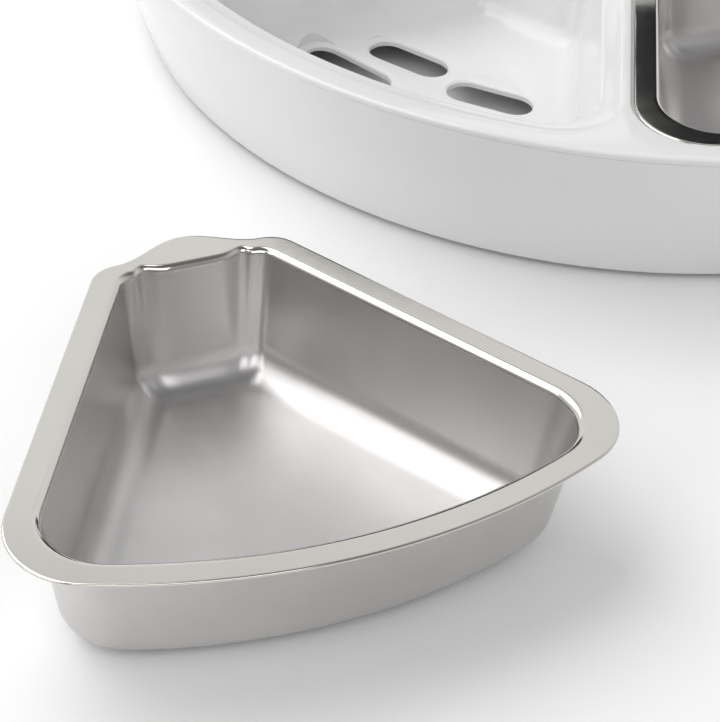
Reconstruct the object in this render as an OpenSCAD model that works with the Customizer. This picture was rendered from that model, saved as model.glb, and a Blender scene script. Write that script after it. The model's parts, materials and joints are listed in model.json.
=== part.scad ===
// Automatic pet feeder: a six-pocket carousel on a round base, steel bowls,
// a smoked lid on a rear hinge and a fixed control hub in the middle.
// The origin is on the floor under the centre of the base, +Z is up and
// -Y is the front. The lid stands open and one bowl is out on the floor.

/* [Carousel] */
// Radius of the rotating deck
deck_r = 160; // [158:0.5:162]
// Height of the deck's top above the floor
deck_z = 48; // [47.5:0.5:49]
// Thickness of the deck plate
deck_t = 3.6; // [3.2:0.1:4]
// Angle that the carousel stands at, measured at the rib next to the front
carousel_turn = -3.2; // [-30:0.1:30]
// Half the width of the rib between two pockets
rib_half = 1.3; // [1:0.1:1.6]

/* [Bowls] */
// Height of a steel bowl
bowl_h = 33; // [31:0.5:34]
// Thickness of the bowl's steel
steel_t = 0.8; // [0.6:0.1:1]
// Outer radius of the bowl's curved front flange
flange_r = 152.6; // [152:0.1:152.8]
// Distance of the bowl's narrow end from the carousel's axis
narrow_u = 43; // [42:0.5:44]
// Width of the flange
flange_w = 5.3; // [5:0.1:5.6]
// How far the lifting tab stands out of the narrow end
tab_h = 6.2; // [4:0.2:6.4]
// Left-right place of the loose bowl's arc centre
loose_x = -129.8; // [-140:1:-110]
// Front-back place of the loose bowl's arc centre
loose_y = -152.9; // [-170:1:-150]
// Direction in which the loose bowl's wide end points
loose_turn = 25.7; // [0:0.1:40]

/* [Base] */
// Outer radius of the wall at the floor
foot_r = 143.8; // [143.5:0.1:145]
// Thickness of the base wall
wall_t = 2.4; // [2:0.1:2.5]
// Radius of the fixed column in the middle
column_r = 11; // [10.5:0.1:11.2]

/* [Lid] */
// Angle at which the lid stands open
lid_open = 105; // [0:5:105]
// Height of the hinge axis
hinge_z = 50; // [49.5:0.1:50.5]
// Distance of the hinge axis behind the centre
hinge_y = 168; // [167.5:0.1:169]

/* [Drive] */
// Gear module
gear_m = 1.5; // [1.5:0.1:1.5]
// Teeth on the carousel gear
wheel_teeth = 32; // [32:1:32]
// Teeth on the motor pinion
pinion_teeth = 12; // [12:1:12]

/* [Hidden] */
$fn = 96;
e = 0.01;
pockets = 6;
pocket_a = 180 / pockets;
deck_under = deck_z - deck_t;
flange_top = deck_z - 0.4;
ledge_z = flange_top - steel_t;
recess_gap = 0.6;
open_inset = 5.4;
tub_floor = ledge_z - bowl_h + steel_t - 0.3;
tub_t = 2;
draft = 4.2;
fillet = 10;
foot_inset = 13.1;
end_pull = 2.1;
bevel_h = 7;
bevel_r = 3.5;
// Each floor slot's radius, angle from the pocket's axis, tilt and length.
slots = [[87.7, -11.4, 12, 25], [89.5, 7.8, 5, 25], [105.7, -15, 9, 29.5], [106, 12, -5, 29.5]];
slot_w = 11;
floor_top = 4.5;
floor_under = 2;
wall_top = 46;
hub_r = 34;
hub_z = 49;
hub_top = 75;
plate_z = 72.5;
board_z = 62;
gear_z = 36;
gear_gap = 0.12;
pinion_x = gear_m * (wheel_teeth + pinion_teeth) / 2 + gear_gap;
cell_r = 7.25;
cell_l = 50.5;
cell_y = 19.3;
button_at = [[-18, -8], [-6, -12], [6, -12], [18, -8]];
knob_y = -25;
post_at = 27.8;
post_r = 3.4;

function polar(r, a) = [r * cos(a), r * sin(a)];

// Outline of a rounded wedge that opens along +X: side offset w, front radius
// rf, narrow end at u0, front corner radius rc, narrow corner radius rn and a
// bump of height h on the narrow end.
function front_c(w, rf, rc) =
    [sin(pocket_a), -cos(pocket_a)] * (w + rc)
    + polar(sqrt(pow(rf - rc, 2) - pow(w + rc, 2)), pocket_a);
function narrow_c(w, u0, rn) =
    [u0 + rn, (sin(pocket_a) * (u0 + rn) - (w + rn)) / cos(pocket_a)];
function half_wedge(w, rf, u0, rc, rn, h) =
    let (
        c1 = front_c(w, rf, rc),
        c2 = narrow_c(w, u0, rn),
        a0 = atan2(c1.y, c1.x),
        a1 = pocket_a + 90
    )
    concat(
        [for (i = [0:10]) polar(rf, a0 * i / 10)],
        [for (i = [1:6]) c1 + polar(rc, a0 + (a1 - a0) * i / 6)],
        [for (i = [0:4]) c2 + polar(rn, a1 + (180 - a1) * i / 4)],
        [for (i = [1:6]) let (v = c2.y * (1 - i / 6))
            [u0 - h * (1 + cos(180 * v / c2.y)) / 2, v]]
    );
function wedge(w, rf, u0, rc, rn, h = 0) =
    let (a = half_wedge(w, rf, u0, rc, rn, h), n = len(a))
    concat(a, [for (i = [n - 2:-1:1]) [a[i].x, -a[i].y]]);

// One level of the bowl: the flange outline moved inwards by d, with its
// narrow end moved back out by p.
function bowl_loop(d, h = 0, p = 0) =
    wedge(rib_half + recess_gap + d, flange_r - d, narrow_u + d - p,
        max(17 - 0.45 * d, 8), max(8 - 0.5 * d, 4), h);
function wall_inset(z) = flange_w + 0.2 + draft * (1 - z / (bowl_h - 1));

// Levels as [inset, height, bump, pull], from the outside of the bottom over
// the flange to the inside of the bottom.
bowl_levels = concat(
    [for (t = [0, 25, 50, 75])
        [flange_w + foot_inset - fillet * sin(t), fillet * (1 - cos(t)), 0, end_pull]],
    [[wall_inset(bowl_h - 1), bowl_h - steel_t, 0, end_pull]],
    [[0, bowl_h - steel_t, tab_h, 0]],
    [[0, bowl_h, tab_h, 0]],
    [[flange_w, bowl_h, 0, end_pull]],
    [[flange_w + 0.75, bowl_h - 0.5, 0, end_pull]],
    [[flange_w + 1.1, bowl_h - 1.6, 0, end_pull]],
    [for (t = [75, 50, 25, 0])
        [flange_w + foot_inset - (fillet - steel_t) * sin(t),
         fillet - (fillet - steel_t) * cos(t), 0, end_pull]]
);

module skin(levels) {
    loops = [for (l = levels) bowl_loop(l[0], l[2], l[3])];
    n = len(loops[0]);
    k = len(levels);
    points = [for (i = [0:k - 1]) for (p = loops[i]) [p.x, p.y, levels[i][1]]];
    sides = [for (i = [0:k - 2]) for (j = [0:n - 1]) let (m = (j + 1) % n)
        for (f = [[i * n + j, (i + 1) * n + j, i * n + m],
                  [i * n + m, (i + 1) * n + j, (i + 1) * n + m]]) f];
    bottom = [[for (j = [0:n - 1]) j]];
    top = [[for (j = [n - 1:-1:0]) (k - 1) * n + j]];
    polyhedron(points, concat(bottom, sides, top));
}

module bowl() {
    color([0.72, 0.72, 0.71]) skin(bowl_levels);
}

// Puts a child that opens along +X into pocket k of the carousel.
module in_pocket(k) {
    rotate([0, 0, carousel_turn + pocket_a * (2 * k + 1) - 90]) children();
}

module bowl_in(k) {
    in_pocket(k) translate([0, 0, flange_top - bowl_h]) bowl();
}

module bowl_loose() {
    translate([loose_x, loose_y, 0]) rotate([0, 0, loose_turn - 90]) bowl();
}

module pocket_shape(d) {
    polygon(wedge(rib_half + d, flange_r + recess_gap - d,
        narrow_u - recess_gap + d - end_pull, max(17.6 - 0.45 * d, 8), max(8.6 - 0.5 * d, 4)));
}

module recess_shape() {
    polygon(wedge(rib_half, flange_r + recess_gap, narrow_u - recess_gap, 17.6, 8.6,
        tab_h));
}

// A pocket's well: wedge sides stand straight and its front follows a cone,
// with a bevel round the foot that keeps it clear of the base wall.
module well(d, bottom, top) {
    r_top = flange_r + recess_gap - d;
    knee = bottom + bevel_h;
    r_knee = r_top - draft * (top - knee) / (bowl_h - 1);
    intersection() {
        translate([0, 0, bottom]) linear_extrude(top - bottom) pocket_shape(d);
        rotate_extrude() polygon([
            [0, bottom], [r_knee - bevel_r, bottom], [r_knee, knee], [r_top, top], [0, top]
        ]);
    }
}

module slot(length, width) {
    for (s = [-1, 1]) translate([0, s * (length - width) / 2, -5]) cylinder(h = 20, d = width);
    translate([-width / 2, -(length - width) / 2, -5]) cube([width, length - width, 20]);
}

module floor_slots() {
    for (s = slots) rotate([0, 0, s[1]]) translate([s[0], 0, tub_floor])
        rotate([0, 0, s[2]]) slot(s[3], slot_w);
}

module carousel_tray() {
    color("white") difference() {
        rotate_extrude($fn = 180) polygon([
            [13, gear_z], [17, gear_z], [17, deck_under], [152.4, deck_under],
            [152.4, 42.1], [154.4, 42.1], [154.4, deck_under], [156.2, deck_under],
            [156.2, 46.5], [deck_r - 0.2, 46.5], [deck_r, 46.7], [deck_r, deck_z - 0.8],
            [deck_r - 0.8, deck_z], [13, deck_z]
        ]);
        for (k = [0:pockets - 1]) in_pocket(k) {
            well(open_inset, tub_floor, deck_z + 1);
            translate([0, 0, ledge_z]) linear_extrude(5) recess_shape();
        }
        for (a = [0, 120, 240]) rotate([0, 0, a + 30]) translate([19.6, 0, 0])
            cylinder(h = 46.6, r = 1.2, $fn = 24);
    }
}

// The moulding's well under one pocket, from the deck's underside down.
module pocket_well(k) {
    color("white") in_pocket(k) difference() {
        well(open_inset - tub_t, tub_floor - tub_t, deck_under);
        well(open_inset, tub_floor, deck_z + 1);
        floor_slots();
    }
}

module pocket_well_1() {
    pocket_well(0);
}

module pocket_well_2() {
    pocket_well(1);
}

module pocket_well_3() {
    pocket_well(2);
}

module pocket_well_4() {
    pocket_well(3);
}

module pocket_well_5() {
    pocket_well(4);
}

module pocket_well_6() {
    pocket_well(5);
}

// Outline of a spur gear with involute flanks, one tooth centred on +X.
function involute(a) = (tan(a) - a * PI / 180) * 180 / PI;
function tooth_half(r, rb, rp, teeth) =
    90 / teeth - 0.1 / rp * 90 / PI + involute(20) - involute(acos(min(1, rb / r)));
function gear_points(teeth) =
    let (
        rp = gear_m * teeth / 2,
        rb = rp * cos(20),
        rr = rp - 1.25 * gear_m,
        ro = rp + gear_m,
        r0 = max(rb, rr),
        radii = concat([rr], [for (i = [0:4]) r0 + (ro - r0) * i / 4 + 0.001 * i])
    )
    [for (k = [0:teeth - 1]) for (s = [-1, 1]) for (i = [0:5])
        let (
            j = s < 0 ? i : 5 - i,
            r = radii[j],
            half = j == 0 ? tooth_half(r0, rb, rp, teeth) + 0.4 : tooth_half(r, rb, rp, teeth)
        )
        polar(r, 360 * k / teeth + s * half)];

module carousel_gear() {
    color([0.85, 0.84, 0.8]) difference() {
        translate([0, 0, gear_z]) linear_extrude(deck_under - gear_z)
            polygon(gear_points(wheel_teeth));
        translate([0, 0, gear_z - 1]) cylinder(h = 20, r = 17);
        for (a = [0, 120, 240]) rotate([0, 0, a + 30]) translate([19.6, 0, gear_z - 1])
            cylinder(h = 20, r = 1.5, $fn = 24);
        for (k = [0:pockets - 1]) rotate([0, 0, 60 * k]) translate([19.6, 0, gear_z - 1])
            cylinder(h = 3, r = 1.5, $fn = 24);
    }
}

module gear_screws() {
    color("silver") for (a = [0, 120, 240]) rotate([0, 0, a + 30]) translate([19.6, 0, 0]) {
        translate([0, 0, gear_z - 1.6]) cylinder(h = 1.6, r = 2.4, $fn = 24);
        translate([0, 0, gear_z - e]) cylinder(h = 46.5 - gear_z, r = 1.2, $fn = 24);
    }
}

module index_magnets() {
    color("dimgray") for (k = [0:pockets - 1]) rotate([0, 0, 60 * k])
        translate([19.6, 0, gear_z]) cylinder(h = 2, r = 1.5, $fn = 24);
}

module centre_bush() {
    color("gold") difference() {
        translate([0, 0, gear_z]) cylinder(h = deck_z - gear_z, r = 13);
        translate([0, 0, gear_z - 1]) cylinder(h = 20, r = column_r + 0.08);
    }
}

module motor_pinion() {
    color([0.85, 0.84, 0.8]) translate([pinion_x, 0, gear_z + 0.5]) difference() {
        linear_extrude(7) rotate([0, 0, 180 / pinion_teeth]) polygon(gear_points(pinion_teeth));
        translate([0, 0, -1]) cylinder(h = 10, r = 2.5);
    }
}

module pinion_shaft() {
    color("silver") translate([pinion_x, 0, 24]) cylinder(h = gear_z + 7.5 - 24, r = 2.5);
}

module gear_motor() {
    color("silver") translate([pinion_x, 0, 0]) difference() {
        union() {
            translate([0, 0, 6]) cylinder(h = 24, r = 10);
            translate([0, 0, 30 - e]) cylinder(h = 3, r = 4.5);
        }
        translate([0, 0, 23]) cylinder(h = 12, r = 2.58);
    }
}

module motor_bracket() {
    color("dimgray") difference() {
        union() {
            translate([pinion_x - 4.2, -19, 30]) cube([8.8, 38, 1.8]);
            translate([pinion_x, 0, 30]) cylinder(h = 1.8, r = 9);
        }
        translate([pinion_x, 0, 29]) cylinder(h = 4, r = 4.6);
        for (s = [-1, 1]) translate([pinion_x, s * 15.6, 29]) cylinder(h = 4, r = 1.5, $fn = 24);
    }
}

module bracket_screws() {
    color("silver") for (s = [-1, 1]) translate([pinion_x, s * 15.6, 0]) {
        translate([0, 0, 31.8]) cylinder(h = 1.6, r = 2.6, $fn = 24);
        translate([0, 0, 22]) cylinder(h = 9.8 + e, r = 1.2, $fn = 24);
    }
}

module sensor_board() {
    color("darkgreen") translate([-25, -5, 30]) cube([12, 10, 1.6]);
    color("black") translate([-21.6, -2, 31.6 - e]) cube([4, 4, 1.4]);
}

// Wall's outer radius at a height.
function wall_r(z) = foot_r + (z - 3.5) * (deck_r - 0.4 - foot_r) / (wall_top - 3.5);

module door_shape(grow) {
    translate([-35 - grow, cell_y - 11 - grow]) square([65 + 2 * grow, 22 + 2 * grow]);
}

module base_shell() {
    color("white") difference() {
        union() {
            rotate_extrude($fn = 180) polygon([
                [0, floor_under], [foot_r - 1.6, floor_under], [foot_r - 0.4, floor_under + 0.5],
                [foot_r, 3.5], [wall_r(floor_top), floor_top], [column_r, floor_top],
                [column_r, hub_z], [6, hub_z], [6, floor_top], [0, floor_top]
            ]);
            for (s = [-1, 1]) translate([pinion_x, s * 15.6, floor_top - e])
                cylinder(h = 30 - floor_top + e, r = 2.8);
            for (x = [-28.6, 27], s = [-1, 1])
                translate([x, s * cell_y - 7.6, floor_top - e]) cube([1.6, 15.2, 29]);
            for (s = [-1, 1]) translate([-32, s * cell_y, floor_top - e])
                cylinder(h = 5, r = 3);
            translate([-25, -4, floor_top - e]) cube([8, 8, 30 - floor_top + e]);
        }
        for (s = [-1, 1]) mirror([0, s < 0 ? 1 : 0, 0]) {
            translate([0, 0, 1]) linear_extrude(2.2) door_shape(0.3);
            translate([-28, cell_y - 9, 1]) cube([56, 18, 4]);
            translate([-32, cell_y, 1]) cylinder(h = 7, r = 1.25, $fn = 24);
        }
        translate([0, 0, 1]) cylinder(h = 1.9, r = 8.2);
        for (k = [0:5]) rotate([0, 0, 60 * k + 30]) translate([124, 0, 1])
            cylinder(h = 1.9, r = 8.2);
        for (s = [-1, 1]) translate([pinion_x, s * 15.6, 20]) cylinder(h = 12, r = 1.2, $fn = 24);
        for (a = [90, 210, 330]) rotate([0, 0, a]) translate([8.5, 0, 38])
            cylinder(h = 12, r = 1.2, $fn = 24);
    }
}

// The base moulding's wall, which stands on the pan and carries the hinge.
module base_wall() {
    color("white") difference() {
        union() {
            rotate_extrude($fn = 180) polygon([
                [wall_r(floor_top), floor_top], [deck_r - 0.4, wall_top],
                [deck_r - 0.4 - wall_t, wall_top], [wall_r(40) - wall_t, 40],
                [151.9, 40], [151.9, 38.6], [wall_r(36.4) - wall_t, 36.4],
                [wall_r(floor_top) - wall_t, floor_top]
            ]);
            for (s = [-1, 1]) translate([s * 19 - 3, 0, 0]) rotate([90, 0, 90])
                linear_extrude(6) hinge_ear();
        }
        translate([-24, hinge_y, hinge_z]) rotate([0, 90, 0]) cylinder(h = 48, r = 2);
    }
}

module hinge_ear() {
    polygon([
        [151.5, 28], [166, 28], [174, 38], [174, hinge_z], [162, hinge_z], [162, 44.8],
        [156.4, 44.8], [155.4, 40]
    ]);
    translate([hinge_y, hinge_z]) circle(r = 6);
}

module rubber_feet() {
    color([0.16, 0.16, 0.16]) translate([0, 0, 0]) cylinder(h = 2.9, r = 8);
    color([0.16, 0.16, 0.16]) for (k = [0:5]) rotate([0, 0, 60 * k + 30])
        translate([124, 0, 0]) cylinder(h = 2.9, r = 8);
}

module glide_ring() {
    color("ivory") difference() {
        translate([0, 0, 40]) cylinder(h = 2, r = 154.6, $fn = 180);
        translate([0, 0, 39]) cylinder(h = 4, r = 152.1, $fn = 180);
    }
}

module battery_cells() {
    for (s = [-1, 1], i = [0, 1]) translate([0, s * cell_y, 12.2 + 14.6 * i])
        rotate([0, s * 90, 0]) {
            color("seagreen") translate([0, 0, -cell_l / 2]) cylinder(h = cell_l - 1.6, r = cell_r);
            color("silver") translate([0, 0, cell_l / 2 - 1.6 - e]) cylinder(h = 1.6, r = 2.7);
        }
}

module battery_contacts() {
    color("silver") for (s = [-1, 1], m = [-1, 1]) {
        translate([m * 26.6 - 0.3, s * cell_y - 6, 6]) cube([0.6, 12, 27]);
        for (i = [0, 1]) translate([m * 25.9, s * cell_y, 12.2 + 14.6 * i])
            rotate([0, 90, 0]) cylinder(h = 0.9, r = 3, center = true);
    }
}

module battery_door() {
    color("white") difference() {
        union() {
            translate([0, 0, floor_under]) linear_extrude(1.1) door_shape(0);
            translate([-27.7, cell_y - 8.7, 3.1 - e]) cube([55.4, 17.4, 1.3]);
        }
        translate([-32, cell_y, 1]) cylinder(h = 5, r = 1.4, $fn = 24);
        for (i = [0:3]) translate([20 + 2.4 * i, cell_y - 6, 1]) cube([1.2, 12, 1.4]);
    }
}

module battery_door_left() {
    battery_door();
}

module battery_door_right() {
    mirror([0, 1, 0]) battery_door();
}

module door_screws() {
    color("silver") for (s = [-1, 1]) translate([-32, s * cell_y, 0]) {
        translate([0, 0, 1]) cylinder(h = 1, r = 2.4, $fn = 24);
        translate([0, 0, 2 - e]) cylinder(h = 5.6, r = 1.25, $fn = 24);
    }
}

module hub_housing() {
    color("white") difference() {
        rotate_extrude($fn = 120) polygon([
            [6, hub_z], [hub_r - 1.5, hub_z], [hub_r, hub_z + 1.5], [hub_r, plate_z],
            [hub_r - 2, plate_z], [hub_r - 2, hub_z + 2.5], [12, hub_z + 2.5],
            [12, board_z], [6, board_z]
        ]);
        for (a = [90, 210, 330]) rotate([0, 0, a]) translate([8.5, 0, hub_z - 1])
            cylinder(h = 20, r = 1.3, $fn = 24);
    }
    color("white") for (a = [20, 160, 250, 290]) rotate([0, 0, a])
        translate([post_at, 0, hub_z + 2.4]) difference() {
            cylinder(h = plate_z - hub_z - 2.4, r = post_r);
            translate([0, 0, 5]) cylinder(h = 30, r = 1.1, $fn = 24);
        }
}

module hub_screws() {
    color("silver") for (a = [90, 210, 330]) rotate([0, 0, a]) translate([8.5, 0, 0]) {
        translate([0, 0, 39]) cylinder(h = board_z - 39 - 0.2, r = 1.2, $fn = 24);
    }
}

module main_board() {
    color("darkgreen") difference() {
        translate([0, 0, board_z]) cylinder(h = 1.6, r = 31);
        for (a = [20, 160, 250, 290]) rotate([0, 0, a]) translate([post_at, 0, board_z - 1])
            cylinder(h = 4, r = 4);
        translate([0, 0, board_z - 1]) cylinder(h = 4, r = 3);
    }
}

module tact_switches() {
    color("dimgray") for (p = button_at) translate([p.x, p.y, board_z + 1.6]) {
        translate([-3, -3, 0]) cube([6, 6, 2.6]);
        translate([0, 0, 2.6 - e]) cylinder(h = 0.8, r = 1.7);
    }
}

module lcd_module() {
    color("darkslategray") translate([-17, 2, board_z + 1.6]) cube([34, 19, 8.6]);
}

module hub_cover() {
    color("white") difference() {
        rotate_extrude($fn = 120) polygon([
            [0, plate_z], [hub_r, plate_z], [hub_r, hub_top - 1.4], [hub_r - 0.5, hub_top - 0.4],
            [hub_r - 1.5, hub_top], [0, hub_top]
        ]);
        for (p = button_at) translate([p.x, p.y, plate_z - 1]) cylinder(h = 5, r = 4.3);
        translate([-15, 4, plate_z - 1]) cube([30, 14, 5]);
        translate([-16.6, 2.4, hub_top - 1.4]) cube([33.2, 17.2, 5]);
        translate([0, knob_y, plate_z - 1]) cylinder(h = 5, r = 2.06);
        for (a = [20, 160, 250, 290]) rotate([0, 0, a]) translate([post_at, 0, plate_z - 1]) {
            cylinder(h = 5, r = 1.3, $fn = 24);
            translate([0, 0, 2.3]) cylinder(h = 3, r = 2.5, $fn = 24);
        }
    }
}

module cover_screws() {
    color("silver") for (a = [20, 160, 250, 290]) rotate([0, 0, a]) translate([post_at, 0, 0]) {
        translate([0, 0, plate_z + 1.3]) cylinder(h = 1.1, r = 2.3, $fn = 24);
        translate([0, 0, plate_z - 8]) cylinder(h = 9.4, r = 1.1, $fn = 24);
    }
}

module display_lens() {
    color([0.1, 0.1, 0.12]) translate([-16.5, 2.5, hub_top - 1.4]) cube([33, 17, 1.4]);
}

module push_button(p) {
    color([0.3, 0.3, 0.32]) translate([p.x, p.y, 0]) {
        translate([0, 0, 71.1]) cylinder(h = 1.2, r = 5.2);
        translate([0, 0, 72.3 - e]) cylinder(h = 3.9, r = 4);
        translate([0, 0, 68.2]) cylinder(h = 3, r = 1.5);
    }
}

module button_back() {
    push_button(button_at[0]);
}

module button_minus() {
    push_button(button_at[1]);
}

module button_plus() {
    push_button(button_at[2]);
}

module button_feed() {
    push_button(button_at[3]);
}

module button_springs() {
    color("silver") for (p = button_at) translate([p.x, p.y, board_z + 1.6]) difference() {
        cylinder(h = 6.2, r = 4.9);
        translate([0, 0, -1]) cylinder(h = 10, r = 4.4);
    }
}

module lid_lock_knob() {
    color([0.3, 0.3, 0.32]) translate([0, knob_y, 0]) {
        translate([0, 0, plate_z - 1.4]) cylinder(h = 5, r = 2);
        translate([0, 0, hub_top + 0.4]) cylinder(h = 4.6, r = 5);
        translate([0, -3.2, hub_top + 0.4]) cube([15, 6.4, 2.4]);
        translate([-0.9, -4.4, hub_top + 4]) cube([1.8, 8.8, 3]);
    }
}

// Puts a closed lid part where the open lid stands.
module opened() {
    translate([0, hinge_y, hinge_z]) rotate([-lid_open, 0, 0])
        translate([0, -hinge_y, -hinge_z]) children();
}

module lid_window(d) {
    rotate([0, 0, -90]) polygon(wedge(2 + d, 149 - d, 50 + d, 16, 8));
}

module lid_shell() {
    color([0.12, 0.12, 0.13]) opened() difference() {
        rotate_extrude($fn = 180) polygon([
            [155.8, 55.6], [158.2, 55.6], [158.2, 56], [157, 59.4], [154, 62.4],
            [149, 64.6], [38, 73], [38, 70.8], [148.6, 62.4], [152.4, 60.8],
            [154.8, 58.4]
        ]);
        translate([0, 0, 50]) linear_extrude(40) lid_window(0);
    }
}

// The lid moulding's skirt, with the arm and barrel that take the hinge pin.
module lid_skirt() {
    color([0.12, 0.12, 0.13]) opened() difference() {
        union() {
            rotate_extrude($fn = 180)
                polygon([[155.8, 49], [158.2, 49], [158.2, 55.6], [155.8, 55.6]]);
            translate([-15.6, 154.6, 49.2]) cube([31.2, hinge_y - 154.6, 6]);
            translate([-15.6, hinge_y, hinge_z]) rotate([0, 90, 0]) cylinder(h = 31.2, r = 5);
        }
        translate([-24, hinge_y, hinge_z]) rotate([0, 90, 0]) cylinder(h = 48, r = 2.06);
        translate([-20, 145, 47]) cube([40, 9.4, 8]);
    }
}

module lid_window_trim() {
    color([0.2, 0.2, 0.21]) opened() intersection() {
        translate([0, 0, 50]) linear_extrude(40) difference() {
            lid_window(-2.4);
            lid_window(0);
        }
        rotate_extrude($fn = 180) polygon([
            [38, 73], [149, 64.6], [154, 62.4], [154, 64.4], [149, 66.6], [38, 75]
        ]);
    }
}

module lid_hinge_pin() {
    color("silver") translate([-23.4, hinge_y, hinge_z]) rotate([0, 90, 0])
        cylinder(h = 46.8, r = 2);
}

module bowl_1() {
    bowl_in(0);
}

module bowl_2() {
    bowl_in(1);
}

module bowl_3() {
    bowl_in(2);
}

module bowl_4() {
    bowl_in(3);
}

module bowl_5() {
    bowl_in(4);
}

base_shell();
base_wall();
rubber_feet();
glide_ring();
carousel_tray();
pocket_well_1();
pocket_well_2();
pocket_well_3();
pocket_well_4();
pocket_well_5();
pocket_well_6();
centre_bush();
carousel_gear();
gear_screws();
index_magnets();
motor_pinion();
pinion_shaft();
gear_motor();
motor_bracket();
bracket_screws();
sensor_board();
battery_cells();
battery_contacts();
battery_door_left();
battery_door_right();
door_screws();
hub_housing();
hub_screws();
main_board();
tact_switches();
lcd_module();
hub_cover();
cover_screws();
display_lens();
button_back();
button_minus();
button_plus();
button_feed();
button_springs();
lid_lock_knob();
lid_shell();
lid_skirt();
lid_window_trim();
lid_hinge_pin();
bowl_loose();
bowl_1();
bowl_2();
bowl_3();
bowl_4();
bowl_5();
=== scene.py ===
"""Automatic pet feeder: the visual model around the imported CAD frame, in metres."""

import json

import bmesh
import bpy
from math import atan2, cos, pi, radians, sin, sqrt
from mathutils import Matrix, Vector


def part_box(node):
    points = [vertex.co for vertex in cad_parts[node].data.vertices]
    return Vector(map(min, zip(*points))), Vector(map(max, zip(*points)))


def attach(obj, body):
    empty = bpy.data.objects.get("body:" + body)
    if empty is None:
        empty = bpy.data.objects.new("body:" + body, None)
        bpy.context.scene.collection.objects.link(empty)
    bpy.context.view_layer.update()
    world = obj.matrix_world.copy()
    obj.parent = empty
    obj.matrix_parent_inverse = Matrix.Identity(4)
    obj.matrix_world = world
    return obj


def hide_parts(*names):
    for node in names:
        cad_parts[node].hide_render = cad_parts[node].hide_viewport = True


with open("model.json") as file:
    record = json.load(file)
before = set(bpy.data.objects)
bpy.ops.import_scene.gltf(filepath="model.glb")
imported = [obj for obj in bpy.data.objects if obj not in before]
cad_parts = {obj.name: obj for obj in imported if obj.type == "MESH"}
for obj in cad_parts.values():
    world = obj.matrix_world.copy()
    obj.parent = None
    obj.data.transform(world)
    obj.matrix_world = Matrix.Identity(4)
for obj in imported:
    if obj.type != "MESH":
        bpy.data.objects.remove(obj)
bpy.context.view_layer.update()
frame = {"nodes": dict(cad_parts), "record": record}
record = frame["record"]
MM = 0.001

# ---------------------------------------------------------------- camera
CAMERA_AT = Vector((-0.0692, -0.6113, 0.3311))
CAMERA_PITCH = radians(37.92)
CAMERA_ROLL = radians(4.16)
CAMERA_LENS = 109.7

# ------------------------------------------------- dimensions, in millimetres
POCKET_HALF = radians(30)
CAROUSEL_TURN = radians(-3.2)
RIB_HALF = 1.3
RECESS_GAP = 0.6
FLANGE_R = 152.6
FLANGE_W = 5.3
NARROW_U = 43.0
TAB_H = 6.2
BOWL_H = 33.0
STEEL_T = 0.8
DRAFT = 0.13
END_PULL = 2.1
LOOSE_CENTRE = (-129.8, -152.9)
LOOSE_TURN = radians(25.7 - 90)
# Corner radii of a wedge at the flange's edge, what they lose with each
# millimetre inwards, and what they never go below.
FRONT_CORNER_R, FRONT_CORNER_LOSS, FRONT_CORNER_MIN = 17, 0.45, 8
END_CORNER_R, END_CORNER_LOSS, END_CORNER_MIN = 8, 0.5, 4
# How far the narrow end of a wall swells outwards at its top and at its foot.
WALL_BUMP = 1.6
FOOT_BUMP = 0.4
# Higher powers bring the two shoulders of a narrow end closer to its corners.
SHOULDER_POWER = 3.2

deck_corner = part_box("carousel_tray")[1]
DECK_R = deck_corner.x / MM
DECK_Z = deck_corner.z / MM
DECK_T = 3.6
DECK_UNDER = DECK_Z - DECK_T
LEDGE_DROP = 1.2
LEDGE_Z = DECK_Z - LEDGE_DROP
OPEN_INSET = 5.4
TUB_T = 2.0
TUB_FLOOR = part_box("pocket_well_1")[0].z / MM + TUB_T
SLOT_W = 11.0
# Each floor slot's radius, angle from the pocket's axis, tilt and length.
SLOTS = (
    (87.7, -11.4, 12, 25),
    (89.5, 7.8, 5, 25),
    (105.7, -15, 9, 29.5),
    (106, 12, -5, 29.5),
)
# How much a slot has grown at each height above the pocket's floor.
SLOT_EDGE = ((0, -4), (0, -0.7), (0.25, -0.25), (0.9, 0.02), (0.9, 3))

# Steps along the parts of a wedge's outline.
FRONT_STEPS, CORNER_STEPS, SIDE_STEPS, END_STEPS, BUMP_STEPS = 24, 14, 8, 10, 24
# A fillet's last ring stops just short of level.
ALMOST_LEVEL = pi / 2 - 0.001


def pocket_turn(k):
    """Direction of pocket k's axis. Pocket 0 is right of the front, 5 is the empty one."""
    return CAROUSEL_TURN + (2 * k + 1) * POCKET_HALF - pi / 2


# ---------------------------------------------------------------- geometry
def polar(r, a):
    return Vector((r * cos(a), r * sin(a)))


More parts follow.
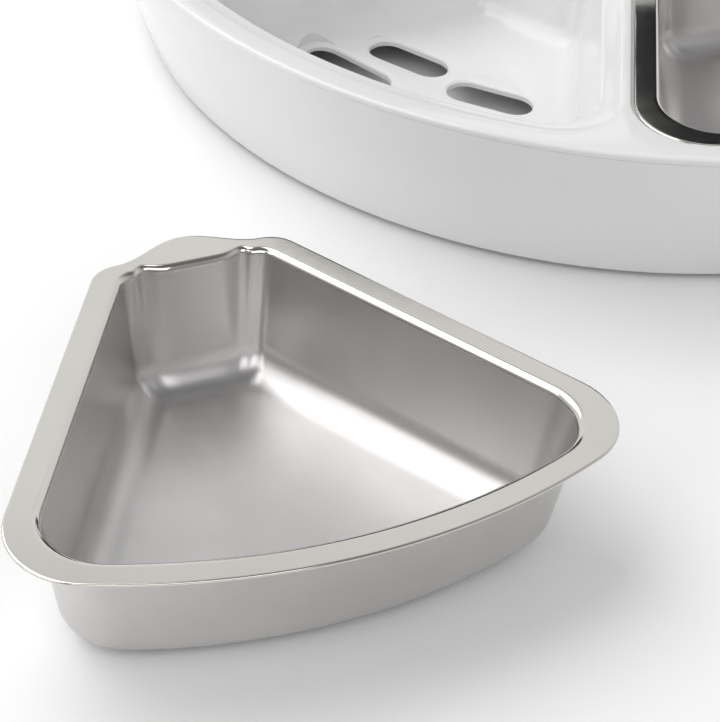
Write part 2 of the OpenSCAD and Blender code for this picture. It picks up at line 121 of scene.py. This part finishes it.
def wedge(side, front_r, end_u, corner_r, end_r, bump=0.0, twin=False):
    """Rounded wedge outline that opens along +X: its sides stand side away from the
    pocket's edge lines. Its narrow end carries a bump outwards: one smooth rise, or
    two shoulders with the middle between them when twin is true."""
    along, across = polar(1, POCKET_HALF), Vector((sin(POCKET_HALF), -cos(POCKET_HALF)))
    reach = sqrt((front_r - corner_r) ** 2 - (side + corner_r) ** 2)
    c1 = across * (side + corner_r) + along * reach
    u = end_u + end_r
    c2 = Vector((u, (sin(POCKET_HALF) * u - (side + end_r)) / cos(POCKET_HALF)))
    a0, a1 = atan2(c1.y, c1.x), POCKET_HALF + pi / 2
    half = [polar(front_r, a0 * i / FRONT_STEPS) for i in range(FRONT_STEPS + 1)]
    half += [
        c1 + polar(corner_r, a0 + (a1 - a0) * i / CORNER_STEPS)
        for i in range(1, CORNER_STEPS + 1)
    ]
    side_from, side_to = half[-1], c2 + polar(end_r, a1)
    half += [side_from.lerp(side_to, i / SIDE_STEPS) for i in range(1, SIDE_STEPS)]
    half += [c2 + polar(end_r, a1 + (pi - a1) * i / END_STEPS) for i in range(END_STEPS + 1)]
    for i in range(1, BUMP_STEPS + 1):
        t = 1 - i / BUMP_STEPS
        if twin:
            rise = (1 - cos(2 * pi * t**SHOULDER_POWER)) / 2
        else:
            rise = (1 + cos(pi * t)) / 2
        half.append(Vector((end_u - bump * rise, c2.y * t)))
    return half + [Vector((p.x, -p.y)) for p in reversed(half[1:-1])]


def wedge_at(inset, bump=0.0, twin=False, grow=0.0):
    """The bowl's flange outline moved inwards by inset; grow widens it to the pocket's.
    A twin outline is a wall's, whose narrow end stands further out."""
    return wedge(
        RIB_HALF + RECESS_GAP - grow + inset,
        FLANGE_R + grow - inset,
        NARROW_U - grow + inset - (END_PULL if twin else 0),
        max(FRONT_CORNER_R + grow - FRONT_CORNER_LOSS * inset, FRONT_CORNER_MIN),
        max(END_CORNER_R + grow - END_CORNER_LOSS * inset, END_CORNER_MIN),
        bump,
        twin,
    )


def close_rings(bm, rings):
    """Joins rings of vertices with sides and closes both ends."""
    n = len(rings[0])
    for a, b in zip(rings, rings[1:]):
        for j in range(n):
            bm.faces.new((a[j], a[(j + 1) % n], b[(j + 1) % n], b[j]))
    bm.faces.new(list(reversed(rings[0])))
    bm.faces.new(rings[-1])
    bmesh.ops.recalc_face_normals(bm, faces=bm.faces)


def spin(bm, angle):
    """Turns a bmesh about Z."""
    matrix = Matrix.Rotation(angle, 3, "Z")
    bmesh.ops.rotate(bm, verts=bm.verts, cent=(0, 0, 0), matrix=matrix)


def loft(levels, grow=0.0):
    """bmesh through levels of (inset, z, bump, twin), closed at both ends."""
    bm = bmesh.new()
    rings = []
    for inset, z, bump, twin in levels:
        outline = wedge_at(inset, bump, twin, grow)
        rings.append([bm.verts.new((p.x * MM, p.y * MM, z * MM)) for p in outline])
    close_rings(bm, rings)
    return bm


def lathe(profile, steps=256):
    """bmesh of a closed (r, z) profile turned about Z, in millimetres."""
    bm = bmesh.new()
    rings = []
    for r, z in profile:
        spots = [polar(r, 2 * pi * k / steps) for k in range(steps)]
        rings.append([bm.verts.new((p.x * MM, p.y * MM, z * MM)) for p in spots])
    for a, b in zip(rings, rings[1:] + rings[:1]):
        for k in range(steps):
            m = (k + 1) % steps
            bm.faces.new((a[k], a[m], b[m], b[k]))
    bmesh.ops.recalc_face_normals(bm, faces=bm.faces)
    return bm


def arc(cx, cz, r, a0, a1, steps):
    """Points (r, z) of a profile's rounded edge."""
    turns = [a0 + (a1 - a0) * i / steps for i in range(steps + 1)]
    return [(cx + r * cos(a), cz + r * sin(a)) for a in turns]


def piece(name, bm, material=None, sharp=radians(32)):
    """An object from a bmesh, smooth except along edges sharper than sharp."""
    mesh = bpy.data.meshes.new(name)
    bm.to_mesh(mesh)
    bm.free()
    for face in mesh.polygons:
        face.use_smooth = True
    mesh.set_sharp_from_angle(angle=sharp)
    obj = bpy.data.objects.new(name, mesh)
    bpy.context.scene.collection.objects.link(obj)
    if material:
        mesh.materials.append(material)
    return obj


def copies(bm, turns):
    """One bmesh with a copy of bm at each of these turns about Z."""
    whole = bmesh.new()
    mesh = bpy.data.meshes.new("copy")
    for turn in turns:
        part = bm.copy()
        spin(part, turn)
        part.to_mesh(mesh)
        part.free()
        whole.from_mesh(mesh)
    bpy.data.meshes.remove(mesh)
    return whole


def combine(target, tool, operation):
    """Applies a boolean of tool on target and removes tool."""
    modifier = target.modifiers.new("combine", "BOOLEAN")
    modifier.operation = operation
    modifier.object = tool
    modifier.solver = "EXACT"
    depsgraph = bpy.context.evaluated_depsgraph_get()
    mesh = bpy.data.meshes.new_from_object(target.evaluated_get(depsgraph))
    target.modifiers.clear()
    target.data = mesh
    bpy.data.objects.remove(tool)


# ---------------------------------------------------------------- materials
def nodes_of(name):
    material = bpy.data.materials.new(name)
    material.use_nodes = True
    tree = material.node_tree
    return material, tree, tree.nodes["Principled BSDF"]


def link_range(tree, source, low, high, target):
    """Maps a 0..1 texture value to low..high on a shader socket."""
    span = tree.nodes.new("ShaderNodeMapRange")
    span.inputs["To Min"].default_value = low
    span.inputs["To Max"].default_value = high
    tree.links.new(source, span.inputs["Value"])
    tree.links.new(span.outputs["Result"], target)


def noise(tree, scale, detail=4.0, stretch=None):
    coords = tree.nodes.new("ShaderNodeTexCoord")
    texture = tree.nodes.new("ShaderNodeTexNoise")
    texture.inputs["Scale"].default_value = scale
    texture.inputs["Detail"].default_value = detail
    if stretch:
        mapping = tree.nodes.new("ShaderNodeMapping")
        mapping.inputs["Scale"].default_value = stretch
        tree.links.new(coords.outputs["Object"], mapping.inputs["Vector"])
        tree.links.new(mapping.outputs["Vector"], texture.inputs["Vector"])
    else:
        tree.links.new(coords.outputs["Object"], texture.inputs["Vector"])
    return texture.outputs["Fac"]


def bump_from(tree, shader, height, strength, distance):
    bump = tree.nodes.new("ShaderNodeBump")
    bump.inputs["Strength"].default_value = strength
    bump.inputs["Distance"].default_value = distance
    tree.links.new(height, bump.inputs["Height"])
    tree.links.new(bump.outputs["Normal"], shader.inputs["Normal"])


def tint(tree, shader, fac, first, second):
    """Base colour that drifts between two shades."""
    ramp = tree.nodes.new("ShaderNodeValToRGB")
    ramp.color_ramp.elements[0].position = 0.35
    ramp.color_ramp.elements[1].position = 0.65
    ramp.color_ramp.elements[0].color = (*first, 1)
    ramp.color_ramp.elements[1].color = (*second, 1)
    tree.links.new(fac, ramp.inputs["Fac"])
    tree.links.new(ramp.outputs["Color"], shader.inputs["Base Color"])


def plastic(name, first, second, rough, peel=0.02):
    """Moulded plastic: a slight drift in shade and gloss and a faint orange peel."""
    shade_scale, gloss_scale, peel_scale, peel_depth = 14, 45, 900, 0.0004
    material, tree, shader = nodes_of(name)
    tint(tree, shader, noise(tree, shade_scale), first, second)
    link_range(tree, noise(tree, gloss_scale), rough[0], rough[1], shader.inputs["Roughness"])
    shader.inputs["IOR"].default_value = 1.49
    bump_from(tree, shader, noise(tree, peel_scale, 2), peel, peel_depth)
    return material


def steel(name, first, second, rough, grain=(1, 1, 1), bump=0.05, scale=260, metal=1.0):
    """Satin or plated steel: fine grain in roughness and bump, broad drift in shade."""
    shade_scale, grain_depth = 22, 0.0002
    material, tree, shader = nodes_of(name)
    shader.inputs["Metallic"].default_value = metal
    tint(tree, shader, noise(tree, shade_scale, 6), first, second)
    grip = noise(tree, scale, 8, grain)
    link_range(tree, grip, rough[0], rough[1], shader.inputs["Roughness"])
    bump_from(tree, shader, noise(tree, scale * 4, 3, grain), bump, grain_depth)
    return material


WHITE = plastic("white_gloss_plastic", (0.79, 0.79, 0.793), (0.82, 0.82, 0.82), (0.05, 0.10))
SATIN_STEEL = steel(
    "satin_bowl_steel",
    (0.58, 0.57, 0.565),
    (0.66, 0.65, 0.645),
    (0.27, 0.37),
    grain=(1, 1, 4),
    bump=0.06,
    metal=0.96,
)
# Polished rim steel: its smoother finish is real, but its lighter, warmer cream colour is a
# painted reflection.
RIM_STEEL_WITH_PAINTED_REFLECTION = steel(
    "polished_rim_steel_painted_reflection", (0.68, 0.665, 0.625), (0.72, 0.705, 0.665), (0.07, 0.12), bump=0.01
)
SMOKED = plastic(
    "smoked_lid_plastic", (0.012, 0.012, 0.014), (0.02, 0.02, 0.022), (0.05, 0.11), 0.01
)
DARK = plastic(
    "dark_satin_plastic", (0.05, 0.05, 0.052), (0.075, 0.075, 0.078), (0.35, 0.5), 0.06
)
RUBBER = plastic("black_rubber", (0.02, 0.02, 0.02), (0.035, 0.034, 0.033), (0.7, 0.9), 0.2)
ZINC = steel("plated_steel", (0.55, 0.55, 0.54), (0.63, 0.63, 0.62), (0.28, 0.42))
BRONZE = steel("bronze", (0.50, 0.34, 0.16), (0.58, 0.41, 0.20), (0.3, 0.45))
ACETAL = plastic("acetal", (0.78, 0.77, 0.71), (0.84, 0.83, 0.78), (0.38, 0.5))
BOARD = plastic("circuit_board", (0.015, 0.10, 0.04), (0.02, 0.14, 0.06), (0.3, 0.45), 0.08)
BLACK = plastic("black_electronics", (0.02, 0.02, 0.022), (0.03, 0.03, 0.032), (0.3, 0.5))
JACKET = plastic("cell_jacket", (0.03, 0.16, 0.07), (0.04, 0.20, 0.09), (0.2, 0.3))
FLOOR = plastic("studio_floor", (0.93, 0.93, 0.93), (0.95, 0.95, 0.95), (0.7, 0.8), 0.0)

finishes = {
    "white_plastic": WHITE,
    "smoked_plastic": SMOKED,
    "dark_plastic": DARK,
    "steel_sheet": SATIN_STEEL,
    "zinc_steel": ZINC,
    "acetal": ACETAL,
    "bronze": BRONZE,
    "black_rubber": RUBBER,
    "board_green": BOARD,
    "electronic_black": BLACK,
    "cell_jacket": JACKET,
}
for sub in record["subparts"]:
    node = frame["nodes"][sub["node"]]
    node.data.materials.clear()
    node.data.materials.append(finishes[sub["material_slot"]])


# ---------------------------------------------------------------- camera and light
camera = bpy.data.objects.new("camera", bpy.data.cameras.new("camera"))
bpy.context.scene.collection.objects.link(camera)
forward = Vector((0, cos(CAMERA_PITCH), -sin(CAMERA_PITCH)))
flat_up = Vector((0, sin(CAMERA_PITCH), cos(CAMERA_PITCH)))
right = Vector((1, 0, 0)) * cos(CAMERA_ROLL) + flat_up * sin(CAMERA_ROLL)
up = flat_up * cos(CAMERA_ROLL) - Vector((1, 0, 0)) * sin(CAMERA_ROLL)
turn = Matrix((right, up, -forward)).transposed().to_4x4()
camera.matrix_world = Matrix.Translation(CAMERA_AT) @ turn
camera.data.lens = CAMERA_LENS
camera.data.sensor_width = 36
bpy.context.scene.camera = camera
bpy.context.scene.view_settings.view_transform = "Standard"

# The studio's sky: its level, how it brightens along X, Y and Z, and what is
# left of it overhead.
SKY_LEVEL = 0.60
SKY_TILT = (-0.04, 0.36, 0.0)
ZENITH = 0.3

world = bpy.data.worlds.new("studio")
bpy.context.scene.world = world
world.use_nodes = True
sky = world.node_tree
direction = sky.nodes.new("ShaderNodeTexCoord")
axes = sky.nodes.new("ShaderNodeSeparateXYZ")
height = sky.nodes.new("ShaderNodeValToRGB")
around = sky.nodes.new("ShaderNodeVectorMath")
level = sky.nodes.new("ShaderNodeMath")
strength = sky.nodes.new("ShaderNodeMath")
for at, shade in ((0.0, 1.0), (0.66, 1.0), (0.9, ZENITH)):
    stop = height.color_ramp.elements.new(at)
    stop.color = (shade, shade, shade, 1)
height.color_ramp.elements.remove(height.color_ramp.elements[0])
height.color_ramp.elements[-1].color = (ZENITH, ZENITH, ZENITH, 1)
around.operation = "DOT_PRODUCT"
around.inputs[1].default_value = SKY_TILT
level.operation = "ADD"
level.inputs[1].default_value = SKY_LEVEL
strength.operation = "MULTIPLY"
sky.links.new(direction.outputs["Generated"], axes.inputs["Vector"])
sky.links.new(direction.outputs["Generated"], around.inputs[0])
sky.links.new(axes.outputs["Z"], height.inputs["Fac"])
sky.links.new(around.outputs["Value"], level.inputs[0])
sky.links.new(level.outputs["Value"], strength.inputs[0])
sky.links.new(height.outputs["Color"], strength.inputs[1])
sky.links.new(strength.outputs["Value"], sky.nodes["Background"].inputs["Strength"])
sky.nodes["Background"].inputs["Color"].default_value = (1, 1, 1, 1)


# Each soft light's name, place, target, size and power in watts.
LIGHTS = (
    ("key", (-0.85, 0.25, 1.4), (-0.05, -0.15, 0), (1.3, 1.3), 14.5),
    ("left_fill", (-1.2, -1.0, 1.2), (-0.05, -0.1, 0), (1.2, 1.2), 7),
    ("front_fill", (0.2, -1.6, 1.5), (-0.05, -0.15, 0), (1.5, 1.2), 9),
)
FLOOR_SIZE = 6


def area_light(name, at, target, size, power):
    light = bpy.data.lights.new(name, "AREA")
    light.shape = "RECTANGLE"
    light.size, light.size_y = size
    light.energy = power
    obj = bpy.data.objects.new(name, light)
    bpy.context.scene.collection.objects.link(obj)
    obj.location = at
    obj.rotation_euler = (Vector(target) - Vector(at)).to_track_quat("-Z", "Y").to_euler()


for light_spec in LIGHTS:
    area_light(*light_spec)

floor_bm = bmesh.new()
bmesh.ops.create_grid(floor_bm, x_segments=1, y_segments=1, size=FLOOR_SIZE)
floor = piece("studio_floor", floor_bm, FLOOR)


# ---------------------------------------------------------------- steel bowls
# How far down from a bowl's top its polished rim reaches; the rim's lighter, warmer cream tint
# is a painted reflection.
RIM_DEPTH = 1.75
BOWL_SHARP = radians(60)
TRAY_SHARP = radians(28)


def bowl_levels():
    """Levels round one pressed bowl, from under the floor over the rim to inside."""
    bend, fillet = 1.7, 9.2
    slope = atan2(1, DRAFT)
    wall_i = FLANGE_W + bend * sin(slope)
    wall_z = BOWL_H - bend * (1 - cos(slope))
    centre_z = STEEL_T + fillet
    line_z = centre_z - fillet * cos(slope)
    centre_i = wall_i + (wall_z - line_z) * DRAFT + fillet * sin(slope)
    rest = pi / 2 - slope

    def foot(radius, angles):
        return [
            (centre_i - radius * cos(a), centre_z - radius * sin(a), FOOT_BUMP * cos(a), True)
            for a in angles
        ]

    down = [rest + (ALMOST_LEVEL - rest) * i / 12 for i in range(13)]
    over = [slope * i / 8 for i in range(9)]
    edge = STEEL_T / 2
    under = bend - STEEL_T
    out = foot(fillet + STEEL_T, reversed(down))
    out += [
        (FLANGE_W + under * sin(a), BOWL_H - bend + under * cos(a), WALL_BUMP, True)
        for a in reversed(over)
    ]
    out.append((1.2, BOWL_H - STEEL_T, TAB_H, False))
    out += [
        (edge - edge * sin(a), BOWL_H - edge - edge * cos(a), TAB_H, False)
        for a in [pi * i / 8 for i in range(9)]
    ]
    out += [(0.65, BOWL_H, TAB_H, False), (FLANGE_W - 0.25, BOWL_H, WALL_BUMP, True)]
    out += [
        (FLANGE_W + bend * sin(a), BOWL_H - bend * (1 - cos(a)), WALL_BUMP, True)
        for a in over
    ]
    return out + foot(fillet, down)


bowl_mesh = loft(bowl_levels())


def add_bowl(suffix, at, turn_by):
    """Puts a pressed bowl over CAD bowl suffix, with a polished rim whose lighter, cream tint
    is a painted reflection.
    """
    bm = bowl_mesh.copy()
    spin(bm, turn_by)
    bmesh.ops.translate(bm, verts=bm.verts, vec=at)
    obj = piece("pressed_bowl_" + suffix, bm, SATIN_STEEL, BOWL_SHARP)
    obj.data.materials.append(RIM_STEEL_WITH_PAINTED_REFLECTION)
    # Faces near the top get the polished rim steel, whose cream tint is a painted reflection.
    rim_z = at[2] + (BOWL_H - RIM_DEPTH) * MM
    for face in obj.data.polygons:
        face.material_index = 1 if face.center.z > rim_z else 0
    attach(obj, "food_bowl_" + suffix)
    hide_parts("bowl_" + suffix)


for k in range(1, 6):
    add_bowl(str(k), (0, 0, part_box(f"bowl_{k}")[0].z), pocket_turn(k - 1))
add_bowl("loose", (LOOSE_CENTRE[0] * MM, LOOSE_CENTRE[1] * MM, 0), LOOSE_TURN)


# ---------------------------------------------------------------- carousel tray
def tray_profile():
    """Half section of the deck with its hub tube, glide rib and rim."""
    rim, edge = 0.9, 0.3
    hub_in, hub_out, hub_low = 13, 17, 36
    rib_in, rib_out, rib_low = 152.4, 154.4, 42.1
    lip_in, lip_low = 156.2, 46.2
    return (
        [(hub_in, hub_low), (hub_out, hub_low), (hub_out, DECK_UNDER)]
        + [(rib_in, DECK_UNDER), (rib_in, rib_low), (rib_out, rib_low)]
        + [(rib_out, DECK_UNDER), (lip_in, DECK_UNDER), (lip_in, lip_low)]
        + arc(DECK_R - edge, lip_low + edge, edge, -pi / 2, 0, 3)
        + arc(DECK_R - rim, DECK_Z - rim, rim, 0, pi / 2, 8)
        + [(hub_in, DECK_Z)]
    )


def pocket_cut():
    """Levels of the space that a pocket takes out of the deck, top to bottom."""
    soft, lip, fillet = 0.7, 1.8, 7.0
    slope = atan2(1, DRAFT)
    levels = [(-soft, DECK_Z + 2, TAB_H, False)]
    levels += [
        (-soft * (1 - sin(a)), DECK_Z - soft * (1 - cos(a)), TAB_H, False)
        for a in [pi / 2 * i / 6 for i in range(7)]
    ]
    levels += [(0.1, LEDGE_Z + 0.15, TAB_H, False), (0.4, LEDGE_Z, TAB_H, False)]
    levels += [
        (OPEN_INSET + lip * (sin(a) - 1), LEDGE_Z - lip * (1 - cos(a)), WALL_BUMP, True)
        for a in [slope * i / 7 for i in range(8)]
    ]
    centre_z = TUB_FLOOR + fillet
    wall_i, wall_z = OPEN_INSET + lip * (sin(slope) - 1), LEDGE_Z - lip * (1 - cos(slope))
    centre_i = wall_i + (wall_z - centre_z + fillet * cos(slope)) * DRAFT + fillet * sin(slope)
    rest = pi / 2 - slope
    levels += [
        (centre_i - fillet * cos(a), centre_z - fillet * sin(a), FOOT_BUMP * cos(a), True)
        for a in [rest + (ALMOST_LEVEL - rest) * i / 10 for i in range(11)]
    ]
    return levels


def tub_outside():
    """Levels of the moulded tub under a pocket."""
    fillet = 7.0
    top_i, bottom_z = OPEN_INSET - TUB_T, TUB_FLOOR - TUB_T
    wall_i = top_i + (LEDGE_Z - bottom_z - fillet) * DRAFT
    levels = [(top_i, DECK_UNDER + 1, WALL_BUMP, True)]
    levels.append((top_i + 0.3, DECK_UNDER - 1, WALL_BUMP, True))
    levels += [
        (
            wall_i + fillet * (1 - cos(a)),
            bottom_z + fillet * (1 - sin(a)),
            FOOT_BUMP * sin(a),
            True,
        )
        for a in [pi / 2 * i / 8 for i in range(9)]
    ]
    return levels


def slot_cut(radius, angle, tilt, length):
    """A rounded slot through a pocket's floor, across the pocket's axis but for its tilt."""
    end_r, end_steps = SLOT_W / 2, 16
    outline = []
    for s in (1, -1):
        centre = Vector((0, s * (length - SLOT_W) / 2))
        start = 0 if s > 0 else pi
        outline += [
            centre + polar(end_r, pi * i / end_steps + start) for i in range(end_steps + 1)
        ]
    bm = bmesh.new()
    rings = []
    for grow, z in SLOT_EDGE:
        ring = []
        for p in outline:
            q = Matrix.Rotation(radians(tilt), 2) @ (p * (1 + grow / end_r))
            ring.append(bm.verts.new(((q.x + radius) * MM, q.y * MM, (TUB_FLOOR + z) * MM)))
        rings.append(ring)
    close_rings(bm, rings)
    spin(bm, radians(angle))
    return bm


pocket_turns = [pocket_turn(k) for k in range(6)]
tray = piece("carousel_moulding", lathe(tray_profile()))
combine(tray, piece("tubs", copies(loft(tub_outside(), RECESS_GAP), pocket_turns)), "UNION")
combine(tray, piece("cuts", copies(loft(pocket_cut(), RECESS_GAP), pocket_turns)), "DIFFERENCE")
for slot_spec in SLOTS:
    slots = copies(slot_cut(*slot_spec), pocket_turns)
    combine(tray, piece("slots", slots), "DIFFERENCE")
tray.data.materials.clear()
tray.data.materials.append(WHITE)
for face in tray.data.polygons:
    face.use_smooth = True
    face.material_index = 0
tray.data.set_sharp_from_angle(angle=TRAY_SHARP)
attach(tray, "carousel")
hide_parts("carousel_tray", *(f"pocket_well_{k}" for k in range(1, 7)))
